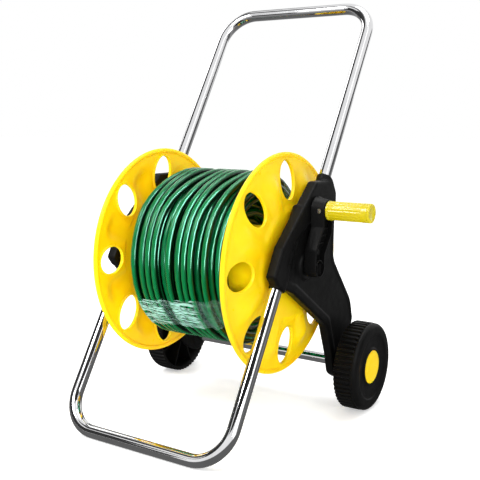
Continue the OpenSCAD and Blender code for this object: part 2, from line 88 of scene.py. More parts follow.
def set_camera(place, yaw, pitch, roll, lens):
    """Yaw turns the view from +Y towards -X; angles in degrees, lens in mm on a 36 mm sensor."""
    yaw, pitch, roll = (math.radians(v) for v in (yaw, pitch, roll))
    ahead = Vector((-math.sin(yaw) * math.cos(pitch), math.cos(yaw) * math.cos(pitch), math.sin(pitch)))
    side = Vector((math.cos(yaw), math.sin(yaw), 0))
    up = side.cross(ahead)
    right = side * math.cos(roll) + up * math.sin(roll)
    top = up * math.cos(roll) - side * math.sin(roll)
    data = bpy.data.cameras.new("camera")
    data.sensor_width = 36
    data.lens = lens
    data.clip_end = 60
    camera = new_object("camera", data)
    turn = Matrix((right, top, -ahead)).transposed().to_4x4()
    camera.matrix_world = Matrix.Translation(place) @ turn
    bpy.context.scene.camera = camera


set_camera(at(804.3, -945.5, 539.4), yaw=32.77, pitch=-8.64, roll=0.30, lens=59.23)


# ---------- materials

def new_material(name, colour, rough, metal=0.0, **sockets):
    """A principled material; returns it with its tree and shader."""
    mat = bpy.data.materials.new(name)
    mat.use_nodes = True
    tree = mat.node_tree
    shader = tree.nodes["Principled BSDF"]
    shader.inputs["Base Color"].default_value = (*colour, 1)
    shader.inputs["Roughness"].default_value = rough
    shader.inputs["Metallic"].default_value = metal
    for key, value in sockets.items():
        shader.inputs[key.replace("_", " ")].default_value = value
    return mat, tree, shader


def add(tree, kind, **values):
    """A node with its settings, or else its sockets, filled in."""
    node = tree.nodes.new(kind)
    for key, value in values.items():
        if hasattr(node, key):
            setattr(node, key, value)
        else:
            node.inputs[key.replace("_", " ")].default_value = value
    return node


def noise(tree, scale, detail=3.0, rough=0.5, stretch=None):
    """Noise in the shared frame, so that it has a real size."""
    place = add(tree, "ShaderNodeTexCoord")
    vector = place.outputs["Object"]
    if stretch:
        fit = add(tree, "ShaderNodeMapping")
        fit.inputs["Scale"].default_value = stretch
        tree.links.new(vector, fit.inputs["Vector"])
        vector = fit.outputs["Vector"]
    node = add(tree, "ShaderNodeTexNoise", Scale=scale, Detail=detail, Roughness=rough)
    tree.links.new(vector, node.inputs["Vector"])
    return node.outputs["Fac"]


def ramp(tree, source, *stops):
    """A colour ramp with stops of (place, colour) or (place, (grey,))."""
    node = add(tree, "ShaderNodeValToRGB")
    band = node.color_ramp
    while len(band.elements) < len(stops):
        band.elements.new(0.5)
    for element, (place, colour) in zip(band.elements, stops):
        element.position = place
        element.color = (*colour, 1) if len(colour) == 3 else (colour[0],) * 3 + (1,)
    tree.links.new(source, node.inputs["Fac"])
    return node.outputs["Color"]


def spread(tree, source, low, high):
    """Stretches the usual range of a noise, 0.3 to 0.7, to low to high."""
    node = add(tree, "ShaderNodeMapRange")
    node.inputs["From Min"].default_value = 0.3
    node.inputs["From Max"].default_value = 0.7
    node.inputs["To Min"].default_value = low
    node.inputs["To Max"].default_value = high
    tree.links.new(source, node.inputs["Value"])
    return node.outputs["Result"]


def bump(tree, shader, height, depth, strength=1.0, before=None):
    """Relief of a depth in metres, on top of an earlier one."""
    node = add(tree, "ShaderNodeBump")
    node.inputs["Strength"].default_value = strength
    node.inputs["Distance"].default_value = depth
    tree.links.new(height, node.inputs["Height"])
    if before is not None:
        tree.links.new(before, node.inputs["Normal"])
    tree.links.new(node.outputs["Normal"], shader.inputs["Normal"])
    return node.outputs["Normal"]


def plastic(name, low, high, rough, grain=900, depth=0.00006, **sockets):
    """Moulded plastic: two close colours in soft clouds, uneven gloss and a fine moulded grain."""
    mat, tree, shader = new_material(name, high, rough, **sockets)
    cloud = noise(tree, 18, 4)
    tree.links.new(ramp(tree, cloud, (0.3, low), (0.7, high)), shader.inputs["Base Color"])
    patch = noise(tree, 60, 3)
    tree.links.new(spread(tree, patch, rough * 0.85, rough * 1.2), shader.inputs["Roughness"])
    first = bump(tree, shader, noise(tree, grain, 2), depth)
    bump(tree, shader, noise(tree, 40, 2), depth * 4, before=first)
    return mat


def metal(name, colour, rough, grain, depth, patchy=120):
    """Bare or plated metal: slight clouds, uneven gloss and a faint waviness."""
    mat, tree, shader = new_material(name, colour, rough, 1.0)
    patch = noise(tree, 30, 4)
    dark = tuple(v * 0.9 for v in colour)
    tree.links.new(ramp(tree, patch, (0.35, dark), (0.65, colour)), shader.inputs["Base Color"])
    gloss = spread(tree, noise(tree, patchy, 4), rough * 0.7, rough * 1.4)
    tree.links.new(gloss, shader.inputs["Roughness"])
    bump(tree, shader, noise(tree, grain, 2), depth)
    return mat


def maths(tree, kind, a, b=None):
    """A maths node's result; a and b are sockets or numbers."""
    node = add(tree, "ShaderNodeMath", operation=kind)
    for socket, value in zip(node.inputs, (a, b)):
        if value is None:
            continue
        if isinstance(value, (int, float)):
            socket.default_value = value
        else:
            tree.links.new(value, socket)
    return node.outputs[0]


def multiplied(tree, a, b):
    """One colour times another."""
    node = add(tree, "ShaderNodeMix", data_type="RGBA", blend_type="MULTIPLY")
    node.inputs["Factor"].default_value = 1.0
    tree.links.new(a, node.inputs[6])
    tree.links.new(b, node.inputs[7])
    return node.outputs[2]


def hose_material():
    """Woven mesh under clear vinyl, with painted shade along both sides of each turn where it touches the
    next; U is metres along it, V goes round it.
    """
    mat, tree, shader = new_material("hose_vinyl", (0.0, 0.12, 0.04), 0.2)
    shader.inputs["Specular IOR Level"].default_value = 0.3
    shader.inputs["Specular Tint"].default_value = (0.45, 1.0, 0.80, 1)
    shader.inputs["Coat Weight"].default_value = 0.32
    shader.inputs["Coat Roughness"].default_value = 0.09
    place = add(tree, "ShaderNodeUVMap", uv_map="along")
    parts = add(tree, "ShaderNodeSeparateXYZ")
    tree.links.new(place.outputs["UV"], parts.inputs["Vector"])
    along = maths(tree, "MULTIPLY", parts.outputs["X"], WEAVE_PER_METRE)
    round_it = maths(tree, "MULTIPLY", parts.outputs["Y"], WEAVE_ROUND)
    threads = []
    for kind in ("ADD", "SUBTRACT"):
        turn = maths(tree, "FRACT", maths(tree, kind, along, round_it))
        threads.append(maths(tree, "ABSOLUTE", maths(tree, "SUBTRACT", turn, 0.5)))
    weave = maths(tree, "MAXIMUM", *threads)
    colour = ramp(tree, weave, (0.33, (0.0, 0.015, 0.004)), (0.41, (0.0, 0.16, 0.04)),
                  (0.51, (0.006, 0.66, 0.18)))
    clouds = ramp(tree, noise(tree, 25, 3), (0.3, (0.82, 0.9, 0.85)), (0.7, (1, 1, 1)))
    colour = multiplied(tree, colour, clouds)
    # painted shade: the base colour darkens towards the hose's sides (V near 0 and 0.5), standing in for
    # the shadow between touching turns
    turn = maths(tree, "MULTIPLY", parts.outputs["Y"], 2 * math.pi)
    side = maths(tree, "ABSOLUTE", maths(tree, "COSINE", turn))
    painted_gap_shade = ramp(tree, side, (0.40, (1, 1, 1)), (0.72, (0.42, 0.46, 0.42)), (0.92, (0.04, 0.05, 0.04)))
    tree.links.new(multiplied(tree, colour, painted_gap_shade), shader.inputs["Base Color"])
    tree.links.new(spread(tree, noise(tree, 200, 3), 0.10, 0.18), shader.inputs["Roughness"])
    bump(tree, shader, weave, 0.0004, 0.5)
    return mat


def film_material():
    """Clear stretch film: milky and creased where it is tight on the turns, see-through over the gaps."""
    mat, tree, shader = new_material("clear_film", (0.52, 0.92, 0.78), 0.12, Alpha=0.2)
    shader.inputs["Specular IOR Level"].default_value = 0.6
    streaks = noise(tree, 80, 5, 0.6, stretch=(0.35, 4.6, 4.6))
    place = add(tree, "ShaderNodeTexCoord")
    parts = add(tree, "ShaderNodeSeparateXYZ")
    tree.links.new(place.outputs["Object"], parts.inputs["Vector"])
    across = maths(tree, "MULTIPLY_ADD", parts.outputs["X"], 1 / FILM_SPAN)
    across.node.inputs[2].default_value = 0.5 + MID_X * MM / FILM_SPAN
    stops = []
    for start, stop in FILM_TIGHT:
        stops += [(start - 4, (0.0,)), (start + 3, (1.0,)), (stop - 3, (1.0,)), (stop + 4, (0.0,))]
    tight = ramp(tree, across, *[(0.5 + x * MM / FILM_SPAN, tone) for x, tone in stops])
    milky = ramp(tree, streaks, (0.42, (0.0,)), (0.48, (0.12,)), (0.55, (0.5,)), (0.66, (0.8,)))
    clear = ramp(tree, streaks, (0.45, (0.02,)), (0.60, (0.08,)), (0.72, (0.3,)))
    see = add(tree, "ShaderNodeMix", data_type="FLOAT")
    tree.links.new(tight, see.inputs[0])
    tree.links.new(clear, see.inputs[2])
    tree.links.new(milky, see.inputs[3])
    tree.links.new(see.outputs[0], shader.inputs["Alpha"])
    tree.links.new(spread(tree, noise(tree, 160, 3), 0.06, 0.25), shader.inputs["Roughness"])
    first = bump(tree, shader, streaks, 0.0015)
    bump(tree, shader, noise(tree, 400, 3), 0.0003, before=first)
    mat.surface_render_method = "DITHERED"
    return mat


CHROME = metal("chrome_tube", (0.80, 0.80, 0.81), 0.05, grain=60, depth=0.00001, patchy=12)
STEEL = metal("zinc_steel", (0.62, 0.62, 0.63), 0.28, grain=900, depth=0.00005)
YELLOW = plastic("yellow_plastic", (0.98, 0.57, 0.0015), (1.0, 0.66, 0.003), 0.32,
                 Specular_IOR_Level=0.25, Subsurface_Weight=0.4, Subsurface_Radius=(1.0, 0.5, 0.04),
                 Subsurface_Scale=0.012)
BLACK = plastic("black_plastic", (0.003, 0.003, 0.003), (0.006, 0.006, 0.006), 0.42, depth=0.00012,
                Specular_IOR_Level=0.11)
GRIP = plastic("grip_plastic", (0.54, 0.44, 0.003), (0.62, 0.51, 0.006), 0.22, depth=0.00003,
               Subsurface_Weight=0.35, Subsurface_Radius=(0.9, 0.7, 0.1), Subsurface_Scale=0.012,
               Coat_Weight=0.3)
GREY = plastic("grey_plastic", (0.05, 0.05, 0.055), (0.08, 0.08, 0.085), 0.4)
BLACKENED = metal("blackened_steel", (0.05, 0.05, 0.052), 0.35, grain=900, depth=0.00005)
RUBBER = plastic("seal_rubber", (0.01, 0.01, 0.01), (0.02, 0.02, 0.02), 0.6)
HOSE = hose_material()
FILM = film_material()


# ---------- mesh helpers

def mesh_object(name, points, faces, material, body, stands_for=(), sharp=None, uvs=None):
    """A piece from points in the shared frame; sharp is the angle above which an edge stays sharp."""
    mesh = bpy.data.meshes.new(name)
    mesh.from_pydata([tuple(p) for p in points], [], faces)
    mesh.validate()
    mesh.shade_smooth()
    if sharp:
        mesh.set_sharp_from_angle(angle=math.radians(sharp))
    if uvs:
        layer = mesh.uv_layers.new(name="along")
        for loop, uv in zip(layer.data, uvs):
            loop.uv = uv
    return settle(new_object(name, mesh), material, body, stands_for)


def settle(obj, material, body, stands_for=()):
    """Gives a piece its material and body, and hides the CAD nodes it stands for."""
    obj.data.materials.clear()
    obj.data.materials.append(material)
    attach(obj, body)
    if stands_for:
        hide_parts(*stands_for)
    return obj


def skin(rows, ring=True, loop=False):
    """Faces between rows of points; ring closes each row, loop joins the last row to the first."""
    points = [p for row in rows for p in row]
    n = len(rows[0])
    count = len(rows)
    faces = []
    for i in range(count if loop else count - 1):
        for k in range(n if ring else n - 1):
            a, b = i * n + k, i * n + (k + 1) % n
            c, d = ((i + 1) % count) * n + (k + 1) % n, ((i + 1) % count) * n + k
            faces.append((a, b, c, d))
    return points, faces


def tube_rows(path, r, sides, ref=Vector((1, 0, 0))):
    """Rings of points at radius r round a path, with their first corner towards ref."""
    rows = []
    turns = [2 * math.pi * k / sides for k in range(sides)]
    for i, p in enumerate(path):
        t = (path[min(i + 1, len(path) - 1)] - path[max(i - 1, 0)]).normalized()
        u = (ref - t * ref.dot(t)).normalized()
        v = t.cross(u)
        rows.append([p + (u * math.cos(a) + v * math.sin(a)) * r for a in turns])
    return rows


def lathe(profile, y, z, steps, side=1, wave=None):
    """Turns an outline of (radius, X) about an axis along X; wave(i, turn) may change a radius."""
    rows = []
    for i, (r, x) in enumerate(profile):
        row = []
        for k in range(steps):
            a = 2 * math.pi * k / steps
            radius = r + (wave(i, k / steps) if wave else 0)
            row.append(at(side * x, y + radius * math.cos(a), z + radius * math.sin(a)))
        rows.append(row)
    if side < 0:
        rows = rows[::-1]
    return rows


# ---------- hose

LAYER, FIRST_R = 12.6, 69.9            # from layer to layer, and the centre of the innermost one
START_TURN = 300.0                     # where the hose reaches the drum, degrees
LEAD_BEND, LEAD_TURN = 50.0, 110.0     # radius and angle of the bend from the outlet elbow to the drum
OUTLET_X, NUT_LEN = -53.5, 10.0
FIRST_MOVE, NEXT_MOVE = 90.0, 250.0    # degrees to a layer's first move, from the start and from the top
SHIFT = 55.0                           # degrees in which a turn moves over
TRACK_ENDS = [(-53.5, 53.5, 8), (64, -64, 9), (-74, 72, 10), (82, -78, 11), (-80, 88, 12), (89, -80, 13)]
TOP_TRACKS = [-79, -61, -48, -35, -4, 16, 29, 42, 70, 83]
TURN_STEP = 7.5                        # degrees between points of the winding
END_TURN, LIFT_SPAN = 40.0, 36.0       # where the free end starts to rise, and over how many degrees
END_LIFT, END_GRIP = 18.0, 12.0        # how far it rises, and how much of it is in its fitting
WINDING_R = FIRST_R + 6 * LAYER        # centre of the outer layer, if all lay tight
SLACK, LOFT = 4.3, 4.5                 # the outer turns lie this much looser, and hang this much higher


def wound(x, r, a):
    """A place in the winding, whose layers grow looser and higher outwards."""
    out = min(max((r - FIRST_R) / (WINDING_R - FIRST_R), 0), 1)
    return polar(x, r + SLACK * out, a) + Vector((0, 0, LOFT * out * MM))


def winding_keys():
    """(turn in degrees from the start, x, radius) where the hose holds still between moves."""
    layers = [[mix(a, b, i / (n - 1)) for i in range(n)] for a, b, n in TRACK_ENDS]
    layers.append(TOP_TRACKS)
    keys = [(0.0, layers[0][0], FIRST_R)]
    window = FIRST_MOVE
    for k, tracks in enumerate(layers):
        r = FIRST_R + k * LAYER
        for i in range(len(tracks) - 1):
            keys.append((window + 360 * i, tracks[i], r))
            keys.append((window + 360 * i + SHIFT, tracks[i + 1], r))
        if k == len(layers) - 1:
            break
        top = window + 360 * (len(tracks) - 1)
        keys.append((top - SHIFT, tracks[-1], r))
        keys.append((top, tracks[-1], r + LAYER))
        keys.append((top + SHIFT, layers[k + 1][0], r + LAYER))
        window = top + NEXT_MOVE
    keys.append((window + 360 * (len(TOP_TRACKS) - 2) + SHIFT * 2, TOP_TRACKS[-1], WINDING_R))
    return keys


def hose_path():
    """The hose's centre line: from the nut on the elbow, round the drum layer by layer, to its free end."""
    path = []
    rise = (FIRST_R - LEAD_BEND) * math.cos(math.radians(LEAD_TURN)) + LEAD_BEND
    reach = (FIRST_R - LEAD_BEND) * math.sin(math.radians(LEAD_TURN))
    out = START_TURN + LEAD_TURN
    base = polar(OUTLET_X, rise, out)
    way = polar(OUTLET_X, 1, out - 90) - polar(OUTLET_X, 0, 0)
    for s in (NUT_LEN, NUT_LEN / 2):
        path.append(base + way * (reach - s))
    middle = polar(OUTLET_X, FIRST_R - LEAD_BEND, START_TURN)
    lead_steps = 20
    for i in range(lead_steps):
        a = START_TURN + LEAD_TURN * (1 - i / lead_steps)
        path.append(middle + polar(OUTLET_X, LEAD_BEND, a) - polar(OUTLET_X, 0, 0))
    keys = winding_keys()
    total = keys[-1][0]
    turn, i = 0.0, 0
    while turn <= total + 1e-6:
        while i < len(keys) - 2 and turn > keys[i + 1][0]:
            i += 1
        (t0, x0, r0), (t1, x1, r1) = keys[i], keys[i + 1]
        f = ease((turn - t0) / (t1 - t0))
        path.append(wound(mix(x0, x1, f), mix(r0, r1, f), START_TURN - turn))
        turn += TURN_STEP
    lift_steps = 8
    for i in range(1, lift_steps + 1):
        f = i / lift_steps
        path.append(wound(TOP_TRACKS[-1], WINDING_R + END_LIFT * ease(f), END_TURN - LIFT_SPAN * f))
    stop = math.radians(END_TURN - LIFT_SPAN)
    way = Vector((0, math.sin(stop), -math.cos(stop))) * MM
    for _ in range(2):
        path.append(path[-1] + way * END_GRIP / 2)
    return path


def make_hose():
    sides = 14
    path = hose_path()
    rows = tube_rows(path, HOSE_R * MM, sides)
    points, faces = skin(rows)
    along = [0.0]
    for a, b in zip(path, path[1:]):
        along.append(along[-1] + (b - a).length)
    uvs = []
    for i in range(len(rows) - 1):
        for k in range(sides):
            for u, v in ((i, k), (i, k + 1), (i + 1, k + 1), (i + 1, k)):
                uvs.append((along[u], v / sides))
    faces.append(tuple(range(sides))[::-1])
    faces.append(tuple((len(rows) - 1) * sides + k for k in range(sides)))
    uvs += [(0, k / sides) for k in range(sides)] * 2
    hose = mesh_object("hose", points, faces, HOSE, "reel",
                       ("hose_inner_lead", "hose_winding", "hose_free_end"), uvs=uvs)
    print("hose length", round(along[-1], 3))


make_hose()


# ---------- flanges

HOLES, PITCH, HALF = 8, 45.0, 22.5      # round the flange; the pitch and half of it in degrees
RIM_R, RIM_X, BEAD = 189.5, 132.0, 4.5
HUB_R, HUB_FOOT_R, HUB_X, FOOT_X = 92.0, 105.0, 149.5, 144.4
RIDGE_X, RIDGE_R, RIDGE_RUN, RIDGE_END = 149.3, 141, 35, 176   # a ridge is level to RIDGE_R, then falls
HOLE_PITCH, HOLE_LONG, HOLE_WIDE, LIP = 146.0, 34.0, 24.0, 6.8
WEB_IN, WEB_OUT = 107.0, 185.0         # the part of the flange that holds the holes, from radius to radius
FLANGE_WALL = 3.2
BORE_R, BOSS_R, BOSS_X = 10.1, 16.0, 157.5


def dish(r):
    """Outer face of the flange without its ridges."""
    slope = mix(FOOT_X, RIM_X + 1.6, (r - HUB_FOOT_R) / (RIM_R - HUB_FOOT_R))
    return mix(HUB_X, slope, ease((r - HUB_R) / (HUB_FOOT_R - HUB_R)))


def flange_face(r, off):
    """Outer face at a radius and an angle off the middle of the nearest hole, in degrees."""
    from_ridge = math.radians(HALF - abs(off)) * r
    low = dish(r)
    crest = mix(RIDGE_X, dish(RIDGE_END), ease((r - RIDGE_R) / RIDGE_RUN))
    wide = mix(15, 25, (r - HUB_R) / 60)
    lift = max(crest - low, 0)
    shape = 1 - ease((from_ridge - 4) / wide)
    return low + lift * shape


def flange_sector():
    """Rings of (outward, sideways, depth) off a hole's middle: outer face, through the hole, inner face."""
    across, along = 24, 20
    edge = [(WEB_IN, mix(-HALF, HALF, i / across)) for i in range(across)]
    edge += [(mix(WEB_IN, WEB_OUT, i / along), HALF) for i in range(along)]
    edge += [(WEB_OUT, mix(HALF, -HALF, i / across)) for i in range(across)]
    edge += [(mix(WEB_OUT, WEB_IN, i / along), -HALF) for i in range(along)]
    spots = []
    for r, off in edge:
        a = math.radians(off)
        u, v = r * math.cos(a) - HOLE_PITCH, r * math.sin(a)
        turn = math.atan2(v / HOLE_WIDE, u / HOLE_LONG)
        spots.append(((u, v), (HOLE_LONG * math.cos(turn), HOLE_WIDE * math.sin(turn))))
    outward = [1, 0.8, 0.6, 0.42, 0.27, 0.15, 0.07]
    edge_rings = [(1.6, 0.0), (0.7, 0.25), (0.15, 0.9), (0, 1.8), (0, LIP - 1), (0.3, LIP - 0.3),
                  (1.0, LIP), (2.2, LIP), (2.9, LIP - 0.5), (3.2, FLANGE_WALL + 0.6), (3.8, FLANGE_WALL)]

    def between(t, depth):
        return [(o[0] + (b[0] - o[0]) * t, o[1] + (b[1] - o[1]) * t, depth) for b, o in spots]

    rings = [between(t, 0) for t in outward]
    for d, depth in edge_rings:
        ring = []
        for b, o in spots:
            way = Vector((b[0] - o[0], b[1] - o[1]))
            p = Vector(o) + way.normalized() * min(d, way.length * 0.5)
            ring.append((p.x, p.y, depth))
        rings.append(ring)
    return rings + [between(max(t, 0.1), FLANGE_WALL) for t in outward[::-1]]


def make_flange(name, side, stands_for):
    """One flange from eight sectors with a hole each, a hub with its boss, and a beaded rim."""
    points, faces = [], []

    def take(rows, ring=True):
        start = len(points)
        new, quads = skin(rows, ring)
        points.extend(new)
        faces.extend(tuple(start + i for i in quad) for quad in quads)

    sector = flange_sector()
    for k in range(HOLES):
        rows = []
        for ring in sector:
            row = []
            for u, v, depth in ring:
                r = math.hypot(u + HOLE_PITCH, v)
                off = math.degrees(math.atan2(v, u + HOLE_PITCH))
                row.append(polar(flange_face(r, off) - depth, r, off + PITCH * k))
            rows.append(row)
        take(rows)
    turns = [PITCH * k + mix(-HALF, HALF, i / 24) for k in range(HOLES) for i in range(24)]

    def circle(r, x=None, depth=0.0):
        if x is not None:
            return [polar(x, r, a) for a in turns]
        return [polar(flange_face(r, (a + HALF) % PITCH - HALF) - depth, r, a) for a in turns]

    hub = [107, 105, 103, 101, 99, 97, 95, 93, 91, 86, 78, 60, 40, 18]
    rows = [circle(r) for r in hub] + [circle(BOSS_R + 0.6, HUB_X + 0.2), circle(BOSS_R, HUB_X + 1)]
    rows += [circle(BOSS_R, BOSS_X - 0.6), circle(BOSS_R - 0.6, BOSS_X), circle(BORE_R, BOSS_X)]
    rows += [circle(BORE_R, HUB_X - FLANGE_WALL), circle(18, HUB_X - FLANGE_WALL)]
    rows += [circle(r, depth=FLANGE_WALL) for r in hub[::-1][1:]]
    take(rows)
    bead = []
    for i in range(15):
        a = math.radians(mix(135, -135, i / 14))
        bead.append((RIM_R + BEAD * math.cos(a), RIM_X + BEAD * math.sin(a)))
    take([circle(WEB_OUT)] + [circle(r, x) for r, x in bead] + [circle(WEB_OUT, depth=FLANGE_WALL)])
    if side < 0:
        points = [Vector((-2 * MID_X * MM - p.x, p.y, p.z)) for p in points]
    obj = mesh_object(name, points, faces, YELLOW, "reel", stands_for)
    joined = bmesh.new()
    joined.from_mesh(obj.data)
    bmesh.ops.remove_doubles(joined, verts=joined.verts, dist=0.00002)
    bmesh.ops.recalc_face_normals(joined, faces=joined.faces)
    joined.to_mesh(obj.data)
    joined.free()
    obj.data.shade_smooth()
    obj.data.set_sharp_from_angle(angle=math.radians(50))


make_flange("flange_right", 1, ["right_flange"])
make_flange("flange_left", -1, ["left_flange"])


# ---------- film bands

def film_profile(tracks, left_side, right_side):
    """(X, radius) from one side of the winding over the turns to the other."""
    top = WINDING_R + HOSE_R + 0.45
    line = list(left_side)
    for a, b in zip(tracks, tracks[1:]):
        gap = b - a
        sag = 0.5 if gap < 14 else 0.09 * gap
        for i in range(6):
            t = i / 6
            line.append((mix(a, b, t), top - sag * math.sin(math.pi * t) ** 2))
    line.append((tracks[-1], top))
    return line + list(right_side)


def make_film(name, stands_for, middle, span, skew, profile):
    """A band span degrees long about the middle angle; skew shifts it by degrees for each mm across."""
    steps = 14
    rows = []
    for i in range(steps + 1):
        t = i / steps - 0.5
        row = []
        for x, r in profile:
            fray = 0.8 * math.sin(x * 0.19) + 0.5 * math.sin(x * 0.47 + 2)
            crease = 0.25 * math.sin(x * 0.9 + i * 1.1) * math.sin(i * 0.7 + x * 0.05)
            row.append(wound(x, r + crease * 0.8, middle - skew * (x + 60) + t * (span + fray)))
        rows.append(row)
    points, faces = skin(rows, ring=False)
    band = mesh_object(name, points, faces, FILM, "reel", stands_for)
    thick = band.modifiers.new("thickness", "SOLIDIFY")
    thick.thickness = 0.00025
    thick.offset = 0
    return band


# the bands' sides, (X, radius), tucked in between the winding and the flanges towards the drum
LEFT_SIDE = [(-61, 66), (-75, 90), (-86.4, 112), (-87.2, 130), (-86.4, 144), (-84, 149.6), (-81, 151.6)]
RIGHT_SIDE = [(73.5, 151), (78, 147.4), (86, 141.6), (92, 139), (96, 133), (96.4, 118), (82, 92), (61, 66)]
REAR_RIGHT = [(85.5, 151.7), (88.5, 149.4), (90.4, 144), (95.5, 133), (96.2, 118), (82, 92), (61, 66)]
make_film("film_front", ["front_film_band"], middle=217.5, span=24, skew=0.04,
          profile=film_profile(TOP_TRACKS[:-1], LEFT_SIDE, RIGHT_SIDE))
make_film("film_rear", ["rear_film_band"], middle=54, span=15, skew=0,
          profile=film_profile(TOP_TRACKS, LEFT_SIDE, REAR_RIGHT))


# ---------- frame tubes

def leg_point(x, along, back=0.0):
    """A place on the plane of a pair of legs, as far up the legs as along."""
    return at(x, back + along * math.sin(LEAN), TUBE_R + along * math.cos(LEAN))


def u_path(leg_from, leg_to, back, flip):
    """Centre line of a bent U tube from one leg's end to the other's."""
    bend = 62.0
    bar = leg_to if flip else leg_from
    end = leg_from if flip else leg_to
    sign = -1 if flip else 1
    path = []
    for i in range(11):
        path.append((LEG_X, mix(end, bar + sign * bend, i / 10)))
    for i in range(1, 17):
        a = math.pi / 2 * i / 16
        path.append((LEG_X - bend + bend * math.cos(a), bar + sign * (bend - bend * math.sin(a))))
    path += [(mix(LEG_X - bend, 0, i / 6), bar) for i in range(1, 6)]
    whole = path + [(0, bar)] + [(-x, s) for x, s in path[::-1]]
    return [leg_point(x, s, back) for x, s in whole]


def make_tube(name, path, stands_for):
    """A bent tube, open at its ends, with its real wall."""
    across = Vector((0, math.cos(LEAN), -math.sin(LEAN)))
    outer = tube_rows(path, TUBE_R * MM, 48, across)
    inner = tube_rows(path, (TUBE_R - TUBE_WALL) * MM, 48, across)
    points, faces = skin(outer + inner[::-1], loop=True)
    mesh_object(name, points, faces, CHROME, "cart_frame", stands_for, sharp=40)


FRAME_TOP, HANDLE_FOOT, HANDLE_BAR = ((z - TUBE_R) / math.cos(LEAN) for z in (388, 332, 757))
make_tube("frame_tube", u_path(0, FRAME_TOP, 0, False), ["lower_frame_tube"])
make_tube("handle_tube", u_path(HANDLE_FOOT, HANDLE_BAR, SET_BACK, True), ["upper_handle_tube"])


def make_axle():
    """A tube with broken outer edges."""
    end, edge, r, bore = 237.0, 0.5, 10, 8.5
    profile = [(r - edge, -end), (r, -end + edge), (r, end - edge), (r - edge, end)]
    profile += [(bore, end), (bore, -end)]
    points, faces = skin(lathe(profile, WHEEL_Y, WHEEL_Z, 64), loop=True)
    mesh_object("axle", points, faces, CHROME, "cart_frame", ["wheel_axle"], sharp=40)


make_axle()


# ---------- wheels

WHEEL_IN = 198.0                       # from the middle plane to the wheel's inner side
WHEEL_R, TREAD_R, RIBS, SPOKES = 82.5, 79.5, 54, 8


def rib_height(turn):
    """Height of the tread ribs round the wheel, 0 to 1."""
    place = (turn * RIBS + 0.5) % 1 - 0.5
    return ease((0.32 - abs(place)) / 0.13)


def make_wheel(name, side, body, stands_for):
    """A wheel with a ribbed tread and a dished face, hollow and spoked on its inner side."""
    tread = [(TREAD_R, 0.2, 0), (TREAD_R, 0.6, 0.75), (TREAD_R, 1.6, 1), (TREAD_R, 16, 1), (TREAD_R, 30, 1),
             (TREAD_R, 32.6, 0.9), (TREAD_R + 0.6, 33.4, 0.6)]
    shoulder = [(81.2, 34.2), (81.8, 35.2), (81.8, 37), (81.2, 39), (79.8, 41), (77.8, 42.6), (75.4, 43.6),
                (72.5, 44), (66, 44), (62.6, 43.9), (61.2, 43.3), (60.2, 42), (59, 41.4), (52, 40.6),
                (44, 39.8), (38.5, 39.4), (36, 39.9), (34.6, 41.2), (33.8, 41.9), (32.6, 42),
                (31.7, 41.6), (31.6, 36), (10.1, 36)]
    inner = [(10.1, 0.5), (10.8, 0), (16.4, 0), (17, 0.6), (17, 31), (72, 33.5), (75, 0.8), (75.6, 0)]
    outline = tread + [(r, x, 0) for r, x in shoulder + inner]
    profile = [(r, WHEEL_IN + x) for r, x, _ in outline]
    lift = [share * (WHEEL_R - TREAD_R) for _, _, share in outline]
    rows = lathe(profile, WHEEL_Y, WHEEL_Z, RIBS * 12, side, lambda i, turn: lift[i] * rib_height(turn))
    points, faces = skin(rows, loop=True)
    for k in range(SPOKES):
        a = math.radians(360 / SPOKES * (k + 0.5))
        start = len(points)
        for r in (16.5, 76):
            for across, deep in ((-1.5, 5), (-1.5, 33), (1.5, 33), (1.5, 5)):
                y = WHEEL_Y + r * math.cos(a) - across * math.sin(a)
                z = WHEEL_Z + r * math.sin(a) + across * math.cos(a)
                points.append(at(side * (WHEEL_IN + deep), y, z))
        for quad in ((0, 1, 5, 4), (1, 2, 6, 5), (2, 3, 7, 6), (3, 0, 4, 7), (3, 2, 1, 0), (4, 5, 6, 7)):
            faces.append(tuple(start + i for i in (quad if side > 0 else quad[::-1])))
    mesh_object(name, points, faces, BLACK, body, [stands_for], sharp=45)


def make_cap(name, side, body, stands_for):
    """Domed hub cap with a shallow ring and a hollow for the axle's end."""
    dome = [(31.35, 234.2), (31.35, 238.6), (31.1, 239.4), (30.4, 240.1), (29, 240.8), (26, 241.6),
            (22.6, 242.3), (21.6, 242.2), (21, 242.4), (16, 243.0), (10, 243.35), (5, 243.48), (0.4, 243.5)]
    under = [(0.4, 239), (14.6, 239), (15, 238.6), (15, 234.2)]
    points, faces = skin(lathe(dome + under, WHEEL_Y, WHEEL_Z, 72, side), loop=True)
    mesh_object(name, points, faces, YELLOW, body, [stands_for], sharp=40)


make_wheel("wheel_right", 1, "wheel_right", "right_wheel")
make_wheel("wheel_left", -1, "wheel_left", "left_wheel")
make_cap("cap_right", 1, "wheel_right", "right_hub_cap")
make_cap("cap_left", -1, "wheel_left", "left_hub_cap")


# ---------- moulded pieces

def rounded(corners, steps=6):
    """An outline of (y, z) from corners of (y, z, radius)."""
    line = []
    n = len(corners)
    for i, (y, z, r) in enumerate(corners):
        p = Vector((y, z))
        before = Vector(corners[i - 1][:2]) - p
        after = Vector(corners[(i + 1) % n][:2]) - p
        if r <= 0:
            line.append((y, z))
            continue
        half = before.angle(after) / 2
        back = min(r / math.tan(half), before.length * 0.48, after.length * 0.48)
        a, b = p + before.normalized() * back, p + after.normalized() * back
        for k in range(steps + 1):
            t = k / steps
            q = a * (1 - t) ** 2 + p * 2 * t * (1 - t) + b * t ** 2
            line.append((q.x, q.y))
    return line


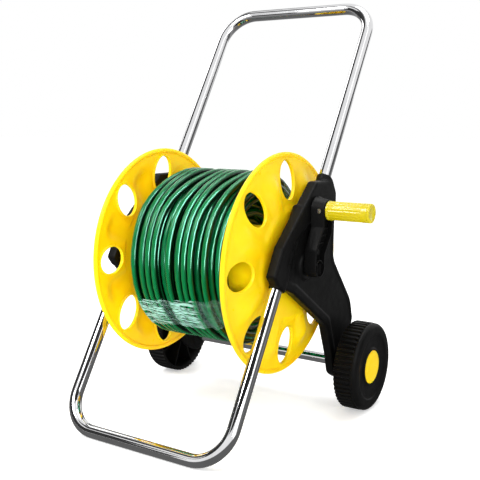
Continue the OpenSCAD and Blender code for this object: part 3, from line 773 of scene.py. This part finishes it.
def prism(outline, x0, x1):
    """A closed solid from an outline in (y, z); its points are in the cart's planes, in mm."""
    body = bmesh.new()
    low = [body.verts.new((x0, y, z)) for y, z in outline]
    high = [body.verts.new((x1, y, z)) for y, z in outline]
    body.faces.new(low)
    body.faces.new(high[::-1])
    n = len(outline)
    for i in range(n):
        body.faces.new((low[i], high[i], high[(i + 1) % n], low[(i + 1) % n]))
    bmesh.ops.recalc_face_normals(body, faces=body.faces)
    return body


def round_bar(p, q, r, sides=40, r2=None):
    """A closed cylinder or cone between two places in mm."""
    p, q = Vector(p), Vector(q)
    body = bmesh.new()
    turn = (q - p).to_track_quat("Z", "Y").to_matrix().to_4x4()
    bmesh.ops.create_cone(body, cap_ends=True, segments=sides, radius1=r, radius2=r if r2 is None else r2,
                          depth=(q - p).length, matrix=Matrix.Translation((p + q) / 2) @ turn)
    return body


def capsule(p, r1, q, r2, steps=20):
    """Round outline in (y, z) that joins two circles with straight sides."""
    p, q = Vector(p), Vector(q)
    way = math.atan2(q.y - p.y, q.x - p.x)
    open_to = math.acos((r1 - r2) / (q - p).length)
    line = []
    for k in range(steps + 1):
        a = way + open_to + (2 * math.pi - 2 * open_to) * k / steps
        line.append((p.x + r1 * math.cos(a), p.y + r1 * math.sin(a)))
    for k in range(steps + 1):
        a = way - open_to + 2 * open_to * k / steps
        line.append((q.x + r2 * math.cos(a), q.y + r2 * math.sin(a)))
    return line


def mesh_of(body, name):
    mesh = bpy.data.meshes.new(name)
    body.to_mesh(mesh)
    body.free()
    return mesh


def baked(obj):
    """The mesh of an object with its modifiers in it."""
    bpy.context.view_layer.update()
    graph = bpy.context.evaluated_depsgraph_get()
    return bpy.data.meshes.new_from_object(obj.evaluated_get(graph))


def mould(name, solids, voxel, smooth, body, stands_for=(), side=1, cutters=(), sharp=None):
    """Melts overlapping solids into one black moulding with soft inner corners, then cuts its holes."""
    whole = bmesh.new()
    for solid in solids:
        mesh = bpy.data.meshes.new("part")
        solid.to_mesh(mesh)
        solid.free()
        whole.from_mesh(mesh)
        bpy.data.meshes.remove(mesh)
    obj = new_object(name, mesh_of(whole, name))
    melt = obj.modifiers.new("melt", "REMESH")
    melt.mode = "VOXEL"
    melt.voxel_size = voxel
    soft = obj.modifiers.new("soft", "SMOOTH")
    soft.iterations = smooth
    soft.factor = 0.5
    tools = [new_object("cutter", mesh_of(c, "cutter")) for c in cutters]
    for tool in tools:
        cut = obj.modifiers.new("cut", "BOOLEAN")
        cut.operation = "DIFFERENCE"
        cut.solver = "EXACT"
        cut.object = tool
    mesh = baked(obj)
    for o in tools + [obj]:
        bpy.data.objects.remove(o)
    for v in mesh.vertices:
        v.co = at(side * v.co.x, v.co.y, v.co.z)
    if side < 0:
        mesh.flip_normals()
    mesh.shade_smooth()
    if sharp:
        mesh.set_sharp_from_angle(angle=math.radians(sharp))
    mesh.name = name
    settle(new_object(name, mesh), BLACK, body, stands_for)


def leg_spot(x, z, back):
    """A place on the centre line of a leg, in the cart's planes."""
    return (x, back + (z - TUBE_R) * math.tan(LEAN), z)


# outlines of the bracket's layers: corners of (y, z, radius) in the cart's planes, mm
EDGE = [(270, 435, 4), (332, 435, 5), (347, 410, 14), (345, 290, 40), (424, 199, 60), (436, 157, 30),
        (426, 70, 30), (392, 47, 35), (357, 66, 24), (346, 106, 30), (320, 170, 12), (198, 250, 20),
        (166, 262, 6), (142, 272, 4), (129, 288, 5), (155, 334, 8)]
BAND = [(270, 435, 4), (332, 435, 5), (346, 411, 12), (345, 376, 10), (262, 372, 30), (240, 362, 12),
        (221, 352, 10), (200, 340, 10), (186, 327, 10), (176, 313, 8), (169, 299, 10), (166, 264, 4),
        (142, 272, 4), (129, 288, 5), (155, 334, 8)]
LOWER_RIM = [(166, 262, 4), (198, 250, 12), (320, 170, 12), (346, 106, 20), (357, 66, 10), (371, 70, 6),
             (360, 110, 20), (334, 180, 16), (206, 263, 12), (176, 274, 4)]
REAR_RIM = [(332, 435, 3), (347, 410, 12), (345, 290, 40), (424, 199, 60), (436, 157, 30), (428, 157, 20),
            (416, 195, 55), (337, 288, 38), (338, 408, 10), (326, 428, 3)]
BUSH_HOLE, AXLE_HOLE, TUBE_HOLE = 13.02, 10.02, 11.02


def bracket_solids():
    """Plates, rims, tube sockets with a cone on the front one, small ribs and bosses, all overlapping."""
    solids = [prism(rounded(EDGE), 161.5, 176.6), prism(rounded(BAND), 161.5, 180.2)]
    solids.append(prism(rounded(LOWER_RIM), 160.5, 178.2))
    solids.append(prism(rounded(REAR_RIM), 160.5, 178.0))
    solids.append(round_bar(leg_spot(LEG_X + 1.5, 262, 0), leg_spot(LEG_X + 1.5, 301, 0), 14.2))
    solids.append(round_bar(leg_spot(LEG_X + 1.5, 301, 0), leg_spot(LEG_X - 4, 312, 0), 14.2, r2=8))
    solids.append(round_bar(leg_spot(LEG_X, 262, 0), leg_spot(LEG_X, 392, 0), 13))
    solids.append(round_bar(leg_spot(LEG_X, 328, SET_BACK), leg_spot(LEG_X, 440, SET_BACK), 14))
    for k in range(4):
        y, z = 190 + 2.5 * k, 283 + 5.5 * k
        solids.append(round_bar((174, y, z), (178.2, y, z), 1.5, 16))
    solids.append(round_bar((158, REEL_Y, REEL_Z), (180.6, REEL_Y, REEL_Z), 24))
    solids.append(round_bar((158, WHEEL_Y, WHEEL_Z), (195.5, WHEEL_Y, WHEEL_Z), 22))
    solids.append(round_bar((160, WHEEL_Y, WHEEL_Z), (176, WHEEL_Y, WHEEL_Z), 30))
    return solids


def bracket_cutters():
    cuts = [round_bar((150, REEL_Y, REEL_Z), (190, REEL_Y, REEL_Z), BUSH_HOLE, 64)]
    cuts.append(round_bar((150, WHEEL_Y, WHEEL_Z), (200, WHEEL_Y, WHEEL_Z), AXLE_HOLE, 64))
    cuts.append(round_bar(leg_spot(LEG_X, 200, 0), leg_spot(LEG_X, 388, 0), TUBE_HOLE, 48))
    cuts.append(round_bar(leg_spot(LEG_X, 332, SET_BACK), leg_spot(LEG_X, 500, SET_BACK), TUBE_HOLE, 48))
    return cuts


for label, side in (("right", 1), ("left", -1)):
    mould("bracket_" + label, bracket_solids(), 1.7, 8, "cart_frame", [label + "_bracket"], side,
          bracket_cutters())


# ---------- crank

CRANK_LEN, CRANK_LEAN = 99.0, math.radians(16)
ARM_IN, ARM_FLOOR, ARM_OUT = 182.5, 196.0, 205.0   # X of the arm's back, its channel's floor and its rim
GRIP_IN, GRIP_LEN, GRIP_R, FLUTES = 205.8, 75.0, 16.5, 18
FOOT_R, KNEE_R, TOP_R = 17.5, 17.0, 18.0
FOOT = (REEL_Y, REEL_Z)
TOP = (FOOT[0] + CRANK_LEN * math.sin(CRANK_LEAN), FOOT[1] + CRANK_LEN * math.cos(CRANK_LEAN))
NECK = (FOOT[0] + 0.5, FOOT[1] + 0.26 * CRANK_LEN)
KNEE = (TOP[0], TOP[1] - 0.34 * CRANK_LEN)
SIDE_SCREW_X = 195.0


def arm_links(inset=0.0, grown=0.0):
    """The arm's outline as three capsules; grown makes its upper part wider."""
    foot, knee, top = FOOT_R - inset, KNEE_R - inset + grown, TOP_R - inset + grown
    return [(FOOT, foot, NECK, foot - 0.5), (NECK, foot - 0.5, KNEE, knee), (KNEE, knee, TOP, top)]


def lofted(link_low, x0, link_high, x1):
    """A closed solid between a capsule outline at x0 and one at x1."""
    low, high = capsule(*link_low), capsule(*link_high)
    body = bmesh.new()
    a = [body.verts.new((x0, y, z)) for y, z in low]
    b = [body.verts.new((x1, y, z)) for y, z in high]
    body.faces.new(a)
    body.faces.new(b[::-1])
    for i in range(len(a)):
        k = (i + 1) % len(a)
        body.faces.new((a[i], b[i], b[k], a[k]))
    bmesh.ops.recalc_face_normals(body, faces=body.faces)
    return body


def arm_solids():
    solids = []
    for low, high in zip(arm_links(0, 6.3), arm_links(0, 4.0)):
        solids.append(lofted(low, ARM_IN + 0.2, high, 190.5))
    for low, high in zip(arm_links(0, 4.0), arm_links(0, 0)):
        solids.append(lofted(low, 190.0, high, ARM_OUT - 0.4))
    solids.append(round_bar((SIDE_SCREW_X, TOP[0], TOP[1]), (SIDE_SCREW_X, TOP[0] - 16.6, TOP[1]), 6.2))
    return solids


def arm_cutters():
    """The channel, and the side screw's hole."""
    cuts = [prism(capsule(p, r1, q, r2), ARM_FLOOR, ARM_OUT + 3) for p, r1, q, r2 in arm_links(2.4)]
    sunk = (SIDE_SCREW_X, TOP[0] - TOP_R + 2.2, TOP[1])
    cuts.append(round_bar(sunk, (SIDE_SCREW_X, TOP[0] - 30, TOP[1]), 4.6))
    return cuts


def box(y0, z0, y1, z1):
    return [(y0, z0), (y1, z0), (y1, z1), (y0, z1)]


def make_arm():
    """The arm's hollow shell, and the pieces inside it."""
    mould("crank_arm_shell", arm_solids(), 0.9, 5, "reel", ["crank_arm"], cutters=arm_cutters(), sharp=50)
    inside = [round_bar((ARM_FLOOR - 1, *TOP), (ARM_OUT - 1.2, *TOP), 9.5)]
    inside.append(round_bar((ARM_FLOOR - 1, *NECK), (ARM_FLOOR + 4, *NECK), 5))
    for across in (-5.5, 0, 5.5):
        y = FOOT[0] + across
        inside.append(prism(box(y - 1, FOOT[1] - 14, y + 1, FOOT[1] + 6), ARM_FLOOR - 1, ARM_OUT - 2.2))
    arc = [polar_yz(FOOT, 13, a) for a in range(20, 161, 10)]
    arc += [polar_yz(FOOT, 10.8, a) for a in range(160, 19, -10)]
    inside.append(prism(arc, ARM_FLOOR - 1, ARM_OUT - 1.2))
    for height in (0.40, 0.52, 0.64):
        y, z = mix(NECK[0], KNEE[0], (height - 0.3) / 0.4), FOOT[1] + height * CRANK_LEN
        inside.append(prism(box(y - 14, z - 1, y + 14, z + 1), ARM_FLOOR - 1, ARM_FLOOR + 3.5))
    mould("crank_arm_ribs", inside, 0.6, 3, "reel")


make_arm()


def make_grip():
    """Fluted grip with a ring at its base, and its end cap; outlines of (radius, X, share of a flute)."""
    ends = [(GRIP_R - 0.4, 0, 0), (GRIP_R, 0.4, 0), (GRIP_R, 3, 0), (GRIP_R - 0.5, 3.6, 0),
            (GRIP_R - 1.0, 4.6, 1), (GRIP_R - 1.0, 20, 1), (GRIP_R - 1.0, GRIP_LEN - 14, 1),
            (GRIP_R - 1.0, GRIP_LEN - 12.4, 0.2), (GRIP_R - 0.1, GRIP_LEN - 11.8, 0),
            (GRIP_R, GRIP_LEN - 11, 0), (GRIP_R, GRIP_LEN - 0.6, 0), (GRIP_R - 0.6, GRIP_LEN - 0.05, 0)]
    bore = [(9, GRIP_LEN - 0.05, 0), (9, GRIP_LEN - 8, 0), (5.08, GRIP_LEN - 8, 0), (5.08, 0, 0)]
    profile = [(r, GRIP_IN + x) for r, x, _ in ends + bore]
    rib = [share * 0.7 for _, _, share in ends + bore]

    def wave(i, turn):
        return rib[i] * ease(math.cos(2 * math.pi * FLUTES * turn) * 0.8 + 0.5)

    points, faces = skin(lathe(profile, TOP[0], TOP[1], FLUTES * 10, 1, wave), loop=True)
    mesh_object("grip", points, faces, GRIP, "grip", ["crank_grip"], sharp=40)
    out = GRIP_IN + GRIP_LEN
    cap = [(8.9, out - 2.4), (8.9, out + 0.05), (GRIP_R - 0.5, out + 0.05), (GRIP_R, out + 0.5),
           (GRIP_R, out + 2.6), (GRIP_R - 0.5, out + 3.5), (GRIP_R - 1.6, out + 4), (11, out + 4),
           (10.4, out + 3.6), (0.3, out + 3.6), (0.3, out - 2.4)]
    points, faces = skin(lathe(cap, TOP[0], TOP[1], 72), loop=True)
    mesh_object("grip_cap", points, faces, GRIP, "grip", ["grip_end_cap"], sharp=40)


make_grip()


# ---------- carried-over CAD pieces

FINISH = {
    YELLOW: ["drum_core"],
    BLACK: ["water_inlet", "outlet_elbow", "hose_end_fitting"],
    GREY: ["crank_shaft", "water_shaft", "hose_inner_nut", "hose_end_nut", "left_shaft_bush",
           "right_shaft_bush"],
    BLACKENED: ["crank_washer", "crank_screw", "grip_pin"],
    RUBBER: ["inlet_seal_ring"],
    STEEL: ["handle_tube_screws", "frame_tube_screws", "axle_washers", "axle_push_rings", "inlet_screws",
            "left_flange_screws", "right_flange_screws", "crank_side_screw"],
}
for material, names in FINISH.items():
    for name in names:
        mesh = nodes[name].data
        mesh.materials.clear()
        mesh.materials.append(material)
        mesh.shade_smooth()
        mesh.set_sharp_from_angle(angle=math.radians(35))


# ---------- studio

FLOOR_R, DOME_R = 24, 22
PANEL_FAR = 3.6                        # from the middle of the studio, metres
# upright panels: name, from and to a bearing (from +Y towards +X, degrees), from and to a height (m),
# brightness, distance (m) where it isn't PANEL_FAR
PANELS = [
    ("flag_side_low", -142, -80, 0.05, 2.7, 0.04),
    ("flag_side_high", -122, -86, 2.7, 6.0, 0.06),
    ("flag_side_grey", -80, -38, 0.05, 5.6, 0.2),
    ("flag_high_grey", -134, -100, 4.3, 7.4, 0.25, 3.7),
    ("flag_front_low", -149, -130, 0.05, 1.25, 0.06),
    ("flag_right_low", 30, 98, 0.0, 1.8, 0.12),
    ("flag_near", 126, 187, 0.32, 0.78, 0.02, 0.61),
    ("strip_bright", 104, 119, 0.0, 9.0, 1.8, 3.4),
]
# lamps: name, place (m), side (m), power (W)
LAMPS = [
    ("key", (-1.0, -2.4, 2.6), 1.2, 64),
    ("fill", (2.2, -1.8, 1.5), 1.2, 18),
    ("top", (0.2, 0.4, 3.0), 1.4, 30),
    ("side", (-2.2, 0.9, 1.8), 1.2, 12),
]
# lamps near the camera that lift the shadows on one yellow piece each: name, piece, power (W)
FRONT_LAMPS = [
    ("front_drum", "drum_core", 26),
    ("front_left", "flange_left", 12),
    ("front_right", "flange_right", 2),
]


def stage_piece(name, mesh, mat):
    mesh.materials.append(mat)
    obj = new_object(name, mesh)
    return obj


def unseen_by(obj, *rays):
    for ray in rays:
        setattr(obj, "visible_" + ray, False)


def glowing(name, colour, strength, base=(0, 0, 0)):
    """A matt material that gives off an even light; returns it with its tree and shader."""
    mat, tree, shader = new_material(name, base, 0.9, Specular_IOR_Level=0.0)
    shader.inputs["Emission Color"].default_value = (*colour, 1)
    shader.inputs["Emission Strength"].default_value = strength
    return mat, tree, shader


def disc(name, radius):
    body = bmesh.new()
    bmesh.ops.create_circle(body, cap_ends=True, radius=radius, segments=96)
    return mesh_of(body, name)


def make_floor():
    """Light table: a pale floor that glows a little, with a darker sheet that only reflections see."""
    mat, tree, shader = glowing("floor", (0.95, 0.95, 0.95), 0.47, base=(0.95, 0.95, 0.95))
    clouds = ramp(tree, noise(tree, 3, 2), (0.3, (0.93, 0.93, 0.93)), (0.7, (0.95, 0.95, 0.95)))
    tree.links.new(clouds, shader.inputs["Base Color"])
    floor = stage_piece("studio_floor", disc("studio_floor", FLOOR_R), mat)
    floor.location.z = -0.0002
    unseen_by(floor, "glossy")
    mat, tree, shader = glowing("studio_sheet", (0.2, 0.2, 0.2), 1.0)
    place = add(tree, "ShaderNodeTexCoord")
    away = add(tree, "ShaderNodeVectorMath", operation="LENGTH")
    tree.links.new(place.outputs["Object"], away.inputs[0])
    far = maths(tree, "MULTIPLY", away.outputs["Value"], 0.1)
    glow = ramp(tree, far, (0.06, (0.14,)), (0.2, (0.3,)), (0.6, (0.5,)))
    tree.links.new(glow, shader.inputs["Emission Color"])
    sheet = stage_piece("studio_sheet", disc("studio_sheet", FLOOR_R - 1), mat)
    sheet.location.z = -0.003
    unseen_by(sheet, "camera", "diffuse", "shadow")


def make_backdrop():
    """A white dome; it lights nothing."""
    body = bmesh.new()
    bmesh.ops.create_uvsphere(body, u_segments=48, v_segments=24, radius=DOME_R)
    bmesh.ops.reverse_faces(body, faces=body.faces)
    white = glowing("backdrop", (1.0, 1.0, 1.0), 1.0)[0]
    dome = stage_piece("studio_backdrop", mesh_of(body, "studio_backdrop"), white)
    unseen_by(dome, "diffuse", "shadow")


def make_panel(name, start, stop, low, high, tone, far=PANEL_FAR):
    """A curved upright panel that only reflections see; it stripes the chrome."""
    rows = []
    for z in (low, high):
        turns = [math.radians(mix(start, stop, k / 12)) for k in range(13)]
        rows.append([Vector((far * math.sin(a), far * math.cos(a), z)) for a in turns])
    points, faces = skin(rows, ring=False)
    mesh = bpy.data.meshes.new(name)
    mesh.from_pydata([tuple(p) for p in points], [], faces)
    panel = stage_piece(name, mesh, glowing(name, (1.0, 1.0, 1.0), tone)[0])
    unseen_by(panel, "camera", "diffuse", "transmission", "shadow")


def area_lamp(name, power, wide, tall=None):
    data = bpy.data.lights.new(name, "AREA")
    data.size = wide
    if tall:
        data.shape = "RECTANGLE"
        data.size_y = tall
    data.energy = power
    return new_object(name, data)


def aim(lamp, place, target):
    place = Vector(place)
    lamp.location = place
    lamp.rotation_euler = (Vector(target) - place).to_track_quat("-Z", "Y").to_euler()


def shine_only_on(lamp, piece):
    """Light linking: the lamp reaches this piece and no other."""
    shone_on = bpy.data.collections.new(lamp.name + "_shines_on")
    shone_on.objects.link(piece)
    lamp.light_linking.receiver_collection = shone_on


def make_lights():
    world = bpy.data.worlds.new("studio")
    bpy.context.scene.world = world
    world.use_nodes = True
    sky = world.node_tree.nodes["Background"]
    sky.inputs["Color"].default_value = (1, 1, 1, 1)
    sky.inputs["Strength"].default_value = 0.68
    for name, place, wide, power in LAMPS:
        aim(area_lamp(name, power, wide), place, (0, 0, 0.35))
    make_strip((0.243, -0.508, 0.215), (0.219, -0.23, 0.836), 0.05, 11)
    for name, piece, power in FRONT_LAMPS:
        lamp = area_lamp(name, power, 0.5)
        aim(lamp, at(800, -950, 640), (0, 0, 0.3))
        unseen_by(lamp, "camera", "glossy")
        shine_only_on(lamp, nodes.get(piece) or bpy.data.objects[piece])


def make_strip(low, high, wide, power):
    """A tall soft strip from low to high that gives the hose its long highlights."""
    low, high = Vector(low), Vector(high)
    lamp = area_lamp("strip", power, wide, (high - low).length)
    lamp.data.color = (0.55, 1.0, 0.88)
    middle = (low + high) / 2
    back = (middle - Vector((0, 0, 0.3))).normalized()
    up = (high - low - back * (high - low).dot(back)).normalized()
    turn = Matrix((up.cross(back), up, back)).transposed().to_4x4()
    lamp.matrix_world = Matrix.Translation(middle) @ turn
    unseen_by(lamp, "camera", "diffuse")
    shine_only_on(lamp, bpy.data.objects["hose"])


make_floor()
make_backdrop()
for panel in PANELS:
    make_panel(*panel)
make_lights()
bpy.context.scene.view_settings.view_transform = "Standard"
